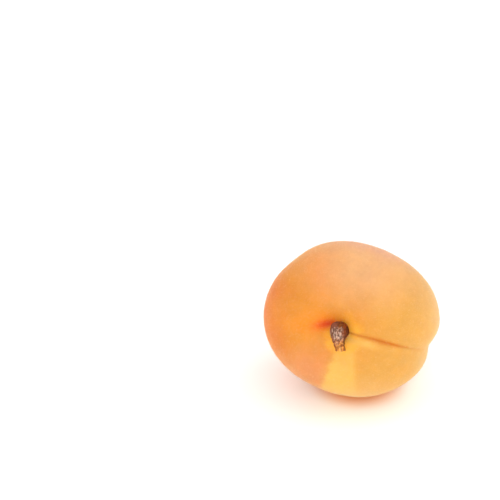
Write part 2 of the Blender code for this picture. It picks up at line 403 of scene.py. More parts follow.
class ApricotStem(bpy.types.PropertyGroup):
    """The stub of the stem"""

    bark: colour("Bark", "The wood's brown", 116, 76, 56)
    weathered: colour("Weathered", "The grey of the dry ridges", 184, 148, 128)
    # Partly the wood's own dark cracks, partly painted shade in the wrinkles and on the far side.
    groove: colour("Groove", "The bottom of the wrinkles and cracks", 70, 28, 4)
    # Partly the wood's own dark brown, partly painted shade from the hollow.
    collar: colour("Collar", "The smooth, dark swelling at the root", 114, 56, 12)
    # Painted sheen on the collar's light side.
    collar_painted_sheen: colour("Collar's bloom", "The purple grey on the collar", 112, 62, 46)
    # Painted shade for the stub's dark side and for the edge of its light side.
    stub_painted_shade: colour("Rust", "The dark side of the stub", 116, 46, 0)
    sere: colour("Sere", "The darker streaks of the bare wood", 158, 86, 28)
    tan: colour("Tan", "The bare wood near the broken end", 210, 136, 50)
    pith: colour("Pith", "The pale streak down the broken end", 246, 190, 120)
    wrinkle: length("Wrinkle height", "Height of the rings round the stub", 0.00016)
    flute: length("Flute height", "Height of the swellings along the stub", 0.0001)
    fine_ring: length("Fine rings", "Height of the fine rings between the wrinkles", 0.00007)
    fibre: length("Fibres", "Height of the fibres along the stub", 0.00004)


class ApricotStudio(bpy.types.PropertyGroup):
    """The camera, the floor and the lights"""

    distance: length("Camera distance", "From the camera to the fruit", 0.40)
    focal_length: length("Focal length", "Focal length of the lens on a 36 mm sensor", 0.1008)
    rise: angle("Camera rise", "How far the camera stands above the fruit's level", 30)
    tilt: angle("Camera tilt", "How far the camera looks down", 27.266)
    pan: angle("Camera pan", "How far the camera is turned to the left", 4.807)
    floor: colour("Floor", "The floor's warm white", 255, 255, 252)
    # Painted shadow colour and bounced light on the floor round the fruit.
    floor_painted_glow: colour("Glow", "The warm cast on the floor close to the fruit", 255, 178, 92)
    sky: colour("Surround", "The light from all round", 255, 255, 255)
    sky_strength: FloatProperty(
        name="Surround strength",
        description="Strength of the light from all round",
        min=0.0,
        default=1.05,
    )
    key_power: power("Key power", "Power of the light from above and the right", 1.5)
    fill_power: power("Fill power", "Power of the light from the front", 3.6)
    key_size: length("Key size", "Width of the light from above and the right", 0.9)
    fill_size: length("Fill size", "Width of the light from the front", 0.3)


def bell(distance, reach):
    """1 at no distance, falling smoothly to nothing past the reach."""
    return np.exp(-((distance / reach) ** 2))


def step(distance, stretch):
    """Rises smoothly from 0 to 1 where the distance passes zero."""
    return 1.0 / (1.0 + np.exp(-distance / stretch))


def body_radius(polar, azimuth):
    """The fruit's radius in a direction, before its groove and hollow are made."""
    across = np.sin(polar)
    x, y, z = across * np.cos(azimuth), across * np.sin(azimuth), np.cos(polar)
    radius = 0.5 / np.sqrt((x / WIDTH) ** 2 + (y / THICKNESS) ** 2 + (z / LENGTH) ** 2)
    taper = (5 * z**3 - 3 * z) / 2
    flat_ends = (35 * z**4 - 30 * z**2 + 3) / 8
    radius = radius * (1 - SHOULDER * taper - SQUARENESS * flat_ends)
    radius = radius + OVAL_HEIGHT * across**2 * np.cos(2 * (azimuth - OVAL_CREST))
    radius = radius + CORNER_HEIGHT * across**4 * np.cos(4 * (azimuth - CORNER_CREST))
    for flattening, place_polar, place_azimuth, spread in FLAT_PLACES:
        aside = math.sin(place_polar)
        nearness = x * aside * math.cos(place_azimuth) + y * aside * math.sin(place_azimuth)
        away = np.arccos(np.clip(nearness + z * math.cos(place_polar), -1, 1))
        radius = radius - flattening * bell(away, spread)
    return radius


def groove_depth(x, y, polar):
    """Depth of the groove at a place beside the stem's axis and an angle from the stem end."""
    side = y + GROOVE_BEND * bell(x, GROOVE_BEND_REACH)
    from_crease = np.sqrt(side**2 + CREASE_ROUNDING**2) - CREASE_ROUNDING
    on_side = step(polar - SIDE_START, SIDE_START_LENGTH) * step(SIDE_END - polar, SIDE_END_LENGTH)
    crease = CREASE_DEPTH * np.exp(-from_crease / (CREASE_WIDTH * (1 + on_side)))
    valley = VALLEY_DEPTH * bell(side, VALLEY_WIDTH)
    deep = GROOVE_LEAST + (1 - GROOVE_LEAST) * bell(polar, GROOVE_REACH)
    start = step(x - GROOVE_START, GROOVE_START_LENGTH)
    end = step(GROOVE_END - polar, GROOVE_END_LENGTH)
    return ((crease + valley) * deep + SIDE_DEPTH * on_side * bell(side, SIDE_WIDTH)) * start * end


def hollow_depth(x, y, from_axis):
    """How far the stem end's skin is sunk along the stem's axis: a narrow hollow in a shallow dip."""
    hollow = HOLLOW_DEPTH * bell(x + HOLLOW_SHIFT, HOLLOW_LONG) * bell(y, HOLLOW_SHORT)
    return hollow + DIP_DEPTH * bell(from_axis, DIP_RADIUS)


def skin_points(polar, azimuth):
    """Points of the skin, one for each pair of angles, with the stem end up."""
    polar, azimuth = np.broadcast_arrays(polar, azimuth)
    radius = body_radius(polar, azimuth)
    from_axis = radius * np.sin(polar)
    x, y = from_axis * np.cos(azimuth), from_axis * np.sin(azimuth)
    tip = TIP_HEIGHT * bell(from_axis, TIP_RADIUS)
    sunk = np.where(polar < math.pi / 2, hollow_depth(x, y, from_axis), tip)
    radius = radius - groove_depth(x, y, polar)
    from_axis = radius * np.sin(polar)
    x, y = from_axis * np.cos(azimuth), from_axis * np.sin(azimuth)
    return np.stack([x, y, radius * np.cos(polar) - sunk], axis=-1)


def spaced(first, last, count, places):
    """Values from first to last, closer together at the given places: (where, how much, stretch)."""
    table = np.linspace(first, last, TABLE_STEPS)
    weight = 1.0 + sum(extra * bell(table - where, stretch) for where, extra, stretch in places)
    total = np.concatenate([[0.0], np.cumsum(weight)[:-1]])
    return np.interp(np.linspace(0, total[-1], count), total, table)


def ripple(points, size, seed, count=24):
    """A smooth random height for each point, about -1 to 1, made of waves of about this size."""
    draw = np.random.default_rng(seed)
    ways = draw.normal(size=(count, 3))
    ways /= np.linalg.norm(ways, axis=1)[:, None]
    turns = 2 * math.pi / (size * draw.uniform(0.7, 1.4, count))
    starts = draw.uniform(0, 2 * math.pi, count)
    waves = sum(np.sin(points @ way * turn + start) for way, turn, start in zip(ways, turns, starts))
    return waves / math.sqrt(2 * count)


def lying_down():
    """The turn that lays the upright fruit on its cheek."""
    tip_over = math.pi / 2 - STEM_RISE
    turn = Matrix.Rotation(STEM_TURN, 3, "Z")
    return turn @ Matrix.Rotation(tip_over, 3, "X") @ Matrix.Rotation(FRUIT_ROLL, 3, "Z")


def skin_grid():
    """The skin's rings of points with the stem end up, from the hollow's middle to the tip."""
    creases = ((0.0, *CORNERS_AT_CREASE), (0.0, *CORNERS_AT_VALLEY))
    azimuth = spaced(-math.pi, math.pi, SKIN_CORNERS + 1, creases)[:-1]
    polar = spaced(0.0, math.pi, SKIN_RINGS, ((0.0, *RINGS_AT_HOLLOW), (math.pi, *RINGS_AT_TIP)))
    return skin_points(polar[:, None], azimuth[None, :])


def pose():
    """Where the upright fruit goes: its turn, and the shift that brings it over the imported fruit."""
    turn = np.array(lying_down())
    turned = skin_grid() @ turn.T
    low, high = (np.array(corner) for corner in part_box("fruit"))
    shift = (low + high) / 2 - (turned.min((0, 1)) + turned.max((0, 1))) / 2
    shift[2] = high[2] - turned[..., 2].max()
    return turn, shift


def placed(points, turn, shift):
    """Points of the upright fruit, moved to where they lie."""
    return points @ turn.T + shift


def rested(points):
    """Rounds off what reaches below the floor into a flat spot."""
    points = points.copy()
    points[..., 2] = (points[..., 2] + np.sqrt(points[..., 2] ** 2 + FLAT_ROUNDING**2)) / 2
    return points


def ring_faces(rings, corners):
    """Quads that join each ring of a grid of points to the next."""
    here = np.arange((rings - 1) * corners).reshape(rings - 1, corners)
    beside = np.roll(here, -1, axis=1)
    return np.stack([here, here + corners, beside + corners, beside], axis=-1).reshape(-1, 4)


def smooth_object(name, points, faces):
    """A new object of these points and outward faces, shaded smooth."""
    mesh = bpy.data.meshes.new(name)
    mesh.from_pydata(points.tolist(), [], [tuple(face) for face in faces])
    mesh.update()
    mesh.shade_smooth()
    piece = bpy.data.objects.new(name, mesh)
    bpy.context.scene.collection.objects.link(piece)
    return piece


def closed_tube(name, grid):
    """A closed body round a grid of rings. The first and last ring have shrunk to one point each."""
    rings, corners = grid.shape[:2]
    inner = grid[1:-1].reshape(-1, 3)
    first, last = len(inner), len(inner) + 1
    start = np.arange(corners)
    beside = np.roll(start, -1)
    end = start + (rings - 3) * corners
    faces = [tuple(quad) for quad in ring_faces(rings - 2, corners).tolist()]
    faces += [(first, int(a), int(b)) for a, b in zip(start, beside)]
    faces += [(last, int(b), int(a)) for a, b in zip(end, np.roll(end, -1))]
    points = np.concatenate([inner, grid[:1, 0], grid[-1:, 0]])
    return smooth_object(name, points, faces)


class Graph:
    """The nodes of one material. Most methods add nodes and give back the last one's output."""

    def __init__(self, name):
        self.material = bpy.data.materials.new(name)
        self.material.use_nodes = True
        self.tree = self.material.node_tree
        self.shader = self.tree.nodes["Principled BSDF"]

    def feed(self, socket, value):
        """Joins a socket to another node's output, or sets it to a number or a colour."""
        if isinstance(value, bpy.types.NodeSocket):
            self.tree.links.new(value, socket)
        elif socket.type == "RGBA":
            socket.default_value = (*value, 1.0)[:4]
        else:
            socket.default_value = value

    def add(self, kind, output, inputs, **settings):
        """Adds a node of a kind, and gives back one of its outputs."""
        node = self.tree.nodes.new("ShaderNode" + kind)
        for name, value in settings.items():
            setattr(node, name, value)
        for name, value in inputs.items():
            self.feed(node.inputs[name], value)
        return node.outputs[output]

    def sets(self, **values):
        """Sets the shader's own sockets, named with underscores for spaces."""
        for name, value in values.items():
            self.feed(self.shader.inputs[name.replace("_", " ")], value)

    def maths(self, operation, *values):
        """The result of one step of arithmetic."""
        return self.add("Math", 0, dict(enumerate(values)), operation=operation)

    def plus(self, *values):
        """The sum of the values."""
        return reduce(lambda one, other: self.maths("ADD", one, other), values)

    def times(self, *values):
        """The product of the values."""
        return reduce(lambda one, other: self.maths("MULTIPLY", one, other), values)

    def mix(self, factor, one, other, blend="MIX"):
        """A colour between two others, or the first one blended with the second."""
        inputs = {0: factor, 6: one, 7: other}
        return self.add("Mix", 2, inputs, data_type="RGBA", blend_type=blend)

    def cover(self, colours, shade, *factors):
        """Lays a shade over the colours, as strongly as the product of the factors, which are 0 to 1."""
        return self.mix(self.times(*factors), colours, shade)

    def toned(self, colours, tone):
        """The colours, made lighter or darker by a number."""
        return self.mix(1.0, colours, self.add("CombineXYZ", 0, {0: tone, 1: tone, 2: tone}), "MULTIPLY")

    def rise(self, value, low, high):
        """0 below the low value, 1 above the high one, and smooth between."""
        inputs = {"Value": value, "From Min": low, "From Max": high}
        return self.add("MapRange", 0, inputs, interpolation_type="SMOOTHSTEP")

    def between(self, value, start, end):
        """1 between two stretches, each written from its end with 0 to its end with 1."""
        return self.times(self.rise(value, *start), self.rise(value, *end))

    def spread(self, value, low, high):
        """A value of 0 to 1, stretched from low to high."""
        return self.add("MapRange", 0, {"Value": value, "To Min": low, "To Max": high})

    def noise(self, vector, size, detail=2.0, roughness=0.5):
        """A soft random pattern of about this size, 0 to 1."""
        inputs = {"Vector": vector, "Scale": 1 / size, "Detail": detail, "Roughness": roughness}
        return self.add("TexNoise", 0, inputs)

    def cells(self, vector, size):
        """The distance from the nearest of many scattered points, in steps of the size."""
        return self.add("TexVoronoi", "Distance", {"Vector": vector, "Scale": 1 / size})

    def bump(self, height, distance, strength=1.0, below=None):
        """A fine relief of this height, on top of the one below it."""
        inputs = {"Height": height, "Distance": distance, "Strength": strength}
        if below is not None:
            inputs["Normal"] = below
        return self.add("Bump", 0, inputs)

    def ring(self, azimuth, stops):
        """A colour for each angle round the fruit, between stops of (degrees, colour)."""
        inputs = {"Value": azimuth, "From Min": -math.pi, "From Max": math.pi}
        node = self.tree.nodes.new("ShaderNodeValToRGB")
        self.feed(node.inputs["Fac"], self.add("MapRange", 0, inputs))
        elements = node.color_ramp.elements
        for _ in stops[2:]:
            elements.new(0.5)
        for element, (degrees, shade) in zip(elements, stops):
            element.position = degrees / 360 + 0.5
            element.color = (*shade, 1.0)
        return node.outputs["Color"]

    def fade(self, distance, reach):
        """1 at no distance, falling smoothly to nothing past the reach."""
        steps = self.maths("DIVIDE", distance, reach)
        return self.maths("EXPONENT", self.times(steps, steps, -1.0))

    def upright(self, turn, shift):
        """Places on the piece as they are on the upright fruit, in metres."""
        back = Matrix(turn.tolist()).transposed()
        inputs = {
            "Vector": self.add("TexCoord", "Object", {}),
            "Location": -(back @ Vector(shift)),
            "Rotation": back.to_euler(),
        }
        return self.add("Mapping", 0, inputs)


def direction(polar, azimuth):
    """A unit vector from two angles in degrees, seen from the fruit's middle."""
    polar, azimuth = math.radians(polar), math.radians(azimuth)
    across = math.sin(polar)
    return across * math.cos(azimuth), across * math.sin(azimuth), math.cos(polar)


def patch(graph, way, noise, place):
    """A soft round patch of skin: 1 in the middle, 0 past its reach, with an uneven edge."""
    polar, azimuth, reach, edge = place
    inputs = {0: way, 1: direction(polar, azimuth)}
    near = graph.add("VectorMath", "Value", inputs, operation="DOT_PRODUCT")
    away = graph.maths("ARCCOSINE", graph.maths("MINIMUM", near, 1.0))
    uneven = graph.plus(away, graph.spread(noise, -math.radians(edge), math.radians(edge)))
    return graph.rise(uneven, math.radians(reach + edge), math.radians(reach - edge))


def ripened(graph, skin, x, y, polar, clouds):
    """The skin's ground: sectors of colour round the fruit, and a warm heart round the hollow."""
    waver = graph.spread(clouds, -SECTOR_WAVER, SECTOR_WAVER)
    sectors = (
        (-180, skin.amber),
        (-145, skin.amber),
        (-118, skin.rosy),
        (-98, skin.rosy),
        (-80, skin.honey),
        (26, skin.honey),
        (78, skin.straw),
        (102, skin.straw),
        (132, skin.peach),
        (160, skin.amber),
        (180, skin.amber),
    )
    colours = graph.ring(graph.plus(graph.maths("ARCTAN2", y, x), waver), sectors)
    near = graph.rise(graph.plus(polar, waver), *HEART_ANGLES)
    return graph.cover(colours, skin.heart, near, HEART_STRENGTH)


def striped(graph, skin, colours, x, y, mottle):
    """The golden stripe that runs down from the hollow, a little wider as it goes."""
    waver = graph.spread(mottle, -STRIPE_WAVER, STRIPE_WAVER)
    slant = graph.times(graph.plus(y, STRIPE_LEFT_PIVOT), STRIPE_LEFT_SLANT)
    left = graph.rise(graph.plus(x, slant, waver), *STRIPE_LEFT)
    right = graph.rise(graph.plus(x, graph.times(y, STRIPE_RIGHT_SLANT), waver), *STRIPE_RIGHT)
    riper = graph.spread(graph.rise(y, *STRIPE_RIPENS), *STRIPE_STRENGTH)
    return graph.cover(colours, skin.golden, left, right, graph.rise(y, *STRIPE_START), riper)


def groove_painted_shade_and_light(graph, skin, colours, x, y):
    """The darker line in the bottom of the groove, partly painted shade, and the bright lip below it,
    partly painted light.
    """
    side = graph.plus(y, graph.times(graph.fade(x, GROOVE_BEND_REACH), GROOVE_BEND))
    strong = graph.between(x, CREASE_STRONG_FROM, CREASE_STRONG_TO)
    line = graph.fade(side, graph.spread(strong, *CREASE_LINE_WIDTH))
    strength = graph.spread(strong, *CREASE_LINE_STRENGTH)
    ahead = graph.between(x, CREASE_LINE_FROM, CREASE_LINE_TO)
    colours = graph.cover(colours, skin.crease, line, strength, ahead)
    painted_light_lip = graph.fade(graph.plus(side, LIP_BELOW_CREASE), LIP_WIDTH)
    return graph.cover(colours, skin.golden, painted_light_lip, graph.between(x, LIP_FROM, LIP_TO), LIP_STRENGTH)


def blushed(graph, skin, colours, place, way, clouds):
    """The red cheek, which breaks up into fine specks at its edge."""
    dense = graph.times(patch(graph, way, clouds, BLUSH_PATCH), BLUSH_DENSITY)
    speckle = graph.rise(graph.noise(place, SPECKLE_SIZE, detail=1.0), *SPECKLE_CUT)
    speckled = graph.rise(graph.plus(dense, graph.spread(speckle, -SPECKLE_SHARE, 0.0)), *BLUSH_CUT)
    return graph.cover(colours, skin.blush, speckled, BLUSH_STRENGTH)


def stained(graph, skin, colours, x, y, z):
    """The red stain in the hollow, on the side away from the groove, with its orange edge."""
    high = graph.rise(z, *STAIN_HEIGHTS)
    tilted = graph.maths("SUBTRACT", y, graph.times(graph.plus(x, STAIN_PIVOT), STAIN_SLOPE))
    for shade, (middle, rise), (reach, width) in (
        (skin.stain_edge, STAIN_EDGE_PLACE, STAIN_EDGE_SIZE),
        (skin.stain, STAIN_PLACE, STAIN_SIZE),
    ):
        along = graph.fade(graph.maths("SUBTRACT", x, middle), reach)
        across = graph.fade(graph.maths("SUBTRACT", tilted, rise), width)
        colours = graph.cover(colours, shade, along, across, high)
    return colours


def edged(graph, skin, colours, way, clouds):
    """Wide, soft patches at the rims: painted shade on the left, painted sheen and floor reflection on
    the right and bottom, and pink at the top.
    """
    for shade, *spots in (
        (skin.flank_painted_shade, FLANK_PAINTED_SHADE_PATCH),
        (skin.rim_painted_sheen, *RIM_PAINTED_SHEEN_PATCHES),
        (skin.pink, PINK_PATCH),
    ):
        for spot in spots:
            near = patch(graph, way, clouds, spot)
            colours = graph.cover(colours, shade, near, CHEEK_PATCH_STRENGTH)
    return colours


def dotted(graph, skin, colours, place, clouds, grain):
    """Scattered freckles, and the pale cast of the velvet."""
    dots = graph.rise(graph.cells(place, FRECKLE_PITCH), *FRECKLE_EDGE)
    freckled = graph.rise(clouds, *FRECKLED_CLOUDS)
    colours = graph.cover(colours, skin.freckle, dots, freckled, FRECKLE_STRENGTH)
    return graph.cover(colours, skin.bloom, graph.rise(grain, *BLOOM_CUT), BLOOM_STRENGTH)


def skin_normal(graph, skin, place):
    """Shallow dimples with finer pores over them."""
    dimples = graph.bump(graph.cells(place, DIMPLE_PITCH), DIMPLE_DEPTH, strength=0.5)
    pores = graph.noise(place, skin.pore, detail=1.0)
    return graph.bump(pores, PORE_DEPTH, strength=0.6, below=dimples)


def skin_material(skin, turn, shift):
    """Velvety skin over soft flesh."""
    graph = Graph("apricot_skin")
    place = graph.upright(turn, shift)
    x, y, z = (graph.add("SeparateXYZ", axis, {0: place}) for axis in range(3))
    way = graph.add("VectorMath", "Vector", {0: place}, operation="NORMALIZE")
    polar = graph.maths("ARCCOSINE", graph.add("SeparateXYZ", "Z", {0: way}))
    clouds = graph.noise(place, CLOUD_SIZE, detail=3.0, roughness=0.55)
    mottle = graph.noise(place, MOTTLE_SIZE, detail=3.0, roughness=0.6)
    grain = graph.noise(place, GRAIN_SIZE, roughness=0.6)

    colours = ripened(graph, skin, x, y, polar, clouds)
    colours = striped(graph, skin, colours, x, y, mottle)
    # Painted light in the hollow, against its shade.
    colours = graph.cover(colours, skin.hollow, patch(graph, way, mottle, HOLLOW_PAINTED_LIGHT_PATCH))
    colours = groove_painted_shade_and_light(graph, skin, colours, x, y)
    colours = edged(graph, skin, colours, way, clouds)
    colours = blushed(graph, skin, colours, place, way, clouds)
    colours = stained(graph, skin, colours, x, y, z)
    colours = dotted(graph, skin, colours, place, clouds, grain)

    cloud_tone = graph.spread(clouds, 1 - CLOUD_TONE, 1 + CLOUD_TONE)
    mottle_tone = graph.spread(mottle, -MOTTLE_TONE, MOTTLE_TONE)
    graph.sets(
        Base_Color=graph.toned(colours, graph.plus(cloud_tone, mottle_tone)),
        Roughness=graph.spread(mottle, *SKIN_ROUGHNESS),
        Normal=skin_normal(graph, skin, place),
        Subsurface_Weight=0.60,
        Subsurface_Radius=(1.0, 0.45, 0.2),
        Subsurface_Scale=0.0028,
        Sheen_Weight=skin.velvet,
        Sheen_Roughness=0.4,
        Sheen_Tint=skin.bloom,
        Specular_IOR_Level=0.2,
    )
    return graph.material


def hair_material(hairs):
    """Pale hairs, warmer in some places than in others."""
    graph = Graph("apricot_hairs")
    place = graph.add("TexCoord", "Object", {})
    blend = graph.rise(graph.noise(place, HAIR_COLOUR_SIZE), *HAIR_COLOUR_CUT)
    graph.sets(
        Base_Color=graph.mix(blend, hairs.pale, hairs.warm),
        Roughness=graph.spread(blend, *HAIR_ROUGHNESS),
        Specular_IOR_Level=0.2,
    )
    return graph.material


def bark_material(stem, turn, shift):
    """Dry wood: a dark collar, partly painted shade, with a painted sheen; weathered ridges; wrinkles
    darkened partly as painted shade; painted shade on the dark side and the edges; and a bare, torn end.
    """
    graph = Graph("stem_wood")
    place = graph.upright(turn, shift)
    marks = ("along", "ring", "hatch", "aside")
    along, ring, hatch, aside = (graph.add("Attribute", "Fac", {}, attribute_name=name) for name in marks)
    drawn_out = graph.add("Mapping", 0, {"Vector": place, "Scale": WOOD_STRETCH})
    grain = graph.noise(place, WOOD_GRAIN_SIZE, detail=3.0, roughness=0.6)
    fibre = graph.noise(place, WOOD_FIBRE_SIZE, detail=3.0, roughness=0.6)
    streaks = graph.noise(drawn_out, WOOD_STREAK_SIZE, roughness=0.6)
    grit = graph.rise(graph.noise(drawn_out, WOOD_GRIT_SIZE, roughness=0.7), *GRIT_CUT)
    uneven = graph.spread(grain, -WOOD_WAVER, WOOD_WAVER)

    speck = graph.plus(graph.spread(hatch, -HATCH_SHARE, HATCH_SHARE), streaks)
    wood = graph.mix(graph.rise(speck, *WEATHERED_CUT), stem.bark, stem.weathered)
    bare = graph.rise(graph.plus(along, uneven, graph.times(aside, BARE_LEAN)), *BARE_ALONG)
    drier = graph.plus(speck, graph.spread(graph.rise(along, *DRY_ALONG), *DRYNESS))
    bare_wood = graph.mix(graph.rise(drier, *DRY_CUT), stem.sere, stem.tan)
    wood = graph.cover(wood, bare_wood, bare, BARE_STRENGTH)
    pith = graph.times(graph.fade(aside, PITH_WIDTH), graph.rise(along, *PITH_ALONG))
    wood = graph.cover(wood, stem.pith, pith, PITH_STRENGTH)
    # Darker wrinkle bottoms, partly painted shade.
    sunk = graph.rise(graph.plus(ring, graph.spread(fibre, -GROOVE_WAVER, GROOVE_WAVER)), *GROOVE_CUT)
    strength = graph.spread(graph.rise(along, *GROOVES_FADE_ALONG), *GROOVE_STRENGTH)
    wood = graph.cover(wood, stem.groove, sunk, strength)
    # The collar, partly painted shade, with a painted sheen on its light side.
    collar = graph.mix(graph.rise(aside, *COLLAR_PAINTED_SHEEN_ROUND), stem.collar, stem.collar_painted_sheen)
    wood = graph.cover(wood, collar, graph.rise(graph.plus(along, uneven), *COLLAR_ALONG))

    # Painted shade: the dark side, the edge of the light side, and the far side, darkest.
    dark_side_painted_shade = graph.rise(graph.plus(aside, graph.times(uneven, SIDE_PAINTED_SHADE_WAVER)), *SIDE_PAINTED_SHADE_ROUND)
    wood = graph.cover(wood, stem.stub_painted_shade, dark_side_painted_shade, graph.rise(along, *SIDE_PAINTED_SHADE_ALONG), SIDE_PAINTED_SHADE_STRENGTH)
    edge = graph.rise(aside, *EDGE_PAINTED_SHADE_ROUND)
    wood = graph.cover(wood, stem.stub_painted_shade, edge, graph.rise(along, *EDGE_PAINTED_SHADE_ALONG), EDGE_PAINTED_SHADE_STRENGTH)
    wood = graph.cover(wood, stem.groove, graph.rise(aside, *SHADY_ROUND), SHADY_STRENGTH)
    graph.sets(
        Base_Color=graph.toned(wood, graph.spread(grit, *GRIT_TONE)),
        Roughness=graph.spread(grain, *WOOD_ROUGHNESS),
        Normal=graph.bump(fibre, WOOD_FIBRE_DEPTH, strength=0.8),
        Specular_IOR_Level=0.15,
    )
    return graph.material


def give(piece, material):
    """Gives a piece its finish and its place in the frame."""
    piece.data.materials.append(material)
    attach(piece, BODY)


class APRICOT_OT_skin(bpy.types.Operator):
    """Make the fine skin of the fruit"""

    bl_idname = "apricot.skin"
    bl_label = "Skin"
    bl_options = {"REGISTER", "UNDO"}

    def execute(self, context):
        skin = context.scene.apricot_skin
        turn, shift = pose()
        grid = skin_grid()
        away = grid / np.linalg.norm(grid, axis=-1, keepdims=True)
        slow, finer = (ripple(grid, size, seed) for size, seed in zip(RELIEF_SIZES, (3, 4)))
        uneven = slow + FINER_RELIEF_SHARE * finer
        grid = grid + away * (skin.relief * uneven)[..., None]
        piece = closed_tube("skin", rested(placed(grid, turn, shift)))
        give(piece, skin_material(skin, turn, shift))
        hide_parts("fruit")
        return {"FINISHED"}


def stub_line():
    """Points of the stub's middle line, from the foot to the broken end."""
    t = np.linspace(0, 1, STUB_RINGS)[:, None]
    u = 1 - t
    a, b, c, d = (np.array(point) for point in STUB_ROUTE)
    floor = float(skin_points(0.0, 0.0)[2])
    return u**3 * a + 3 * u**2 * t * b + 3 * u * t**2 * c + t**3 * d + np.array([0, 0, floor])


def ways_out(ahead, around):
    """The outward direction at each corner of the rings, without a twist along the line."""
    side = np.empty_like(ahead)
    carried = np.array([1.0, 0.0, 0.0])
    for i, way in enumerate(ahead):
        carried = carried - way * (carried @ way)
        carried /= np.linalg.norm(carried)
        side[i] = carried
    other = np.cross(ahead, side)
    return side[:, None] * np.cos(around)[:, None] + other[:, None] * np.sin(around)[:, None]


def stub_relief(stem, rough, along, around, aside, drawn_out):
    """Height of the stub's surface, and its fine rings and fibres by themselves."""
    grown = step(along - WRINKLES_FROM, WRINKLE_PITCH / 4)
    drift = WRINKLE_DRIFT * ripple(rough, WRINKLE_DRIFT_SIZE, 21, count=16)
    phase = along / WRINKLE_PITCH + WRINKLE_LEAN * np.sin(around) + drift
    wrinkle = np.abs(np.sin(math.pi * phase))
    waver = FINE_RING_WAVER * ripple(rough, FINE_RING_WAVER_SIZE, 25)
    slanted = FINE_RINGS_TO_WRINKLE * (phase - FINE_RING_LEAN * aside)
    fine_rings = np.abs(np.sin(math.pi * (slanted + waver)))
    winding = 2 * math.pi * along / KNOB_PITCH
    flutes = np.sin(FLUTE_COUNT * around) + KNOB_SHARE * np.sin(KNOB_COUNT * around + winding)
    fibres = ripple(drawn_out, FIBRE_WIDTH, 22)
    height = grown * (stem.wrinkle * wrinkle + stem.flute * flutes + stem.fine_ring * fine_rings)
    height = height + stem.fibre * fibres * (FIBRE_AT_COLLAR + (1 - FIBRE_AT_COLLAR) * grown)
    return height, fine_rings, fibres


def broken_end(rim, middle, ahead):
    """Rings that close the torn end: a splintery hollow inside the last ring."""
    shrink = np.linspace(1, 0, BREAK_RINGS + 1)[1:, None, None]
    centre = middle - ahead * BREAK_HOLLOW
    end = centre + (rim - centre) * shrink
    splinters = SPLINTER_HEIGHT * ripple(end, SPLINTER_WIDTH, 24) * (shrink[..., 0] > 0)
    return end + ahead * splinters[..., None]


def stub_grid(stem):
    """The stub's rings of points, and numbers for each point that its material reads."""
    line = stub_line()
    steps = np.linalg.norm(np.diff(line, axis=0), axis=1)
    along = np.concatenate([[0.0], np.cumsum(steps)])[:, None]
    around = np.linspace(0, 2 * math.pi, STUB_CORNERS, endpoint=False)
    ahead = np.gradient(line, axis=0)
    ahead /= np.linalg.norm(ahead, axis=1)[:, None]
    outward = ways_out(ahead, around)

    radius = np.interp(along, *zip(*STUB_PROFILE))
    rough = line[:, None] + outward * radius[..., None]
    drawn_out = rough - FIBRE_STRETCH * (line - line[0])[:, None]
    aside = outward @ np.array(DARK_SIDE)
    height, fine_rings, fibres = stub_relief(stem, rough, along, around, aside, drawn_out)
    rings = line[:, None] + outward * (radius + height)[..., None]
    at_rim = step(along - along[-1] + BREAK_RIM, BREAK_RIM_SOFTNESS)
    jag = BREAK_SLANT * (np.cos(around) + BREAK_JAG_SHARE * np.cos(BREAK_JAGS * around)) * at_rim
    rings = rings + ahead[:, None] * jag[..., None]
    foot = np.repeat(line[:1][:, None], STUB_CORNERS, axis=1)
    grid = np.concatenate([foot, rings, broken_end(rings[-1], line[-1], ahead[-1])])

    start, ends = np.zeros((1, STUB_CORNERS)), np.ones((BREAK_RINGS, STUB_CORNERS))
    share_along = np.broadcast_to(along / along[-1], aside.shape)
    marks = {
        "along": np.concatenate([start, share_along, ends]),
        "ring": np.concatenate([start, fine_rings, ends]),
        "hatch": np.concatenate([start, 0.5 + 0.5 * fibres, ends]),
        "aside": np.concatenate([start, aside, BREAK_FACES_DARK_SIDE * ends]),
    }
    return grid, marks


def mark(piece, name, values):
    """Keeps a number for each point of a closed tube, for its material to read."""
    inner = values[1:-1].reshape(-1)
    kept = np.concatenate([inner, values[:1, 0], values[-1:, 0]]).astype(np.float32)
    attribute = piece.data.attributes.new(name, "FLOAT", "POINT")
    attribute.data.foreach_set("value", kept)


class APRICOT_OT_stem(bpy.types.Operator):
    """Make the fine stub of the stem"""

    bl_idname = "apricot.stem"
    bl_label = "Stem"
    bl_options = {"REGISTER", "UNDO"}

    def execute(self, context):
        stem = context.scene.apricot_stem
        turn, shift = pose()
        grid, marks = stub_grid(stem)
        piece = closed_tube("stub", placed(grid, turn, shift))
        for name, values in marks.items():
            mark(piece, name, values)
        give(piece, bark_material(stem, turn, shift))
        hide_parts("stem")
        return {"FINISHED"}


def face_shapes(mesh):
    """Area, middle and outward direction of each face of a mesh."""
    count = len(mesh.polygons)
    areas, centres, normals = np.empty(count), np.empty(count * 3), np.empty(count * 3)
    mesh.polygons.foreach_get("area", areas)
    mesh.polygons.foreach_get("center", centres)
    mesh.polygons.foreach_get("normal", normals)
    return areas, centres.reshape(-1, 3), normals.reshape(-1, 3)


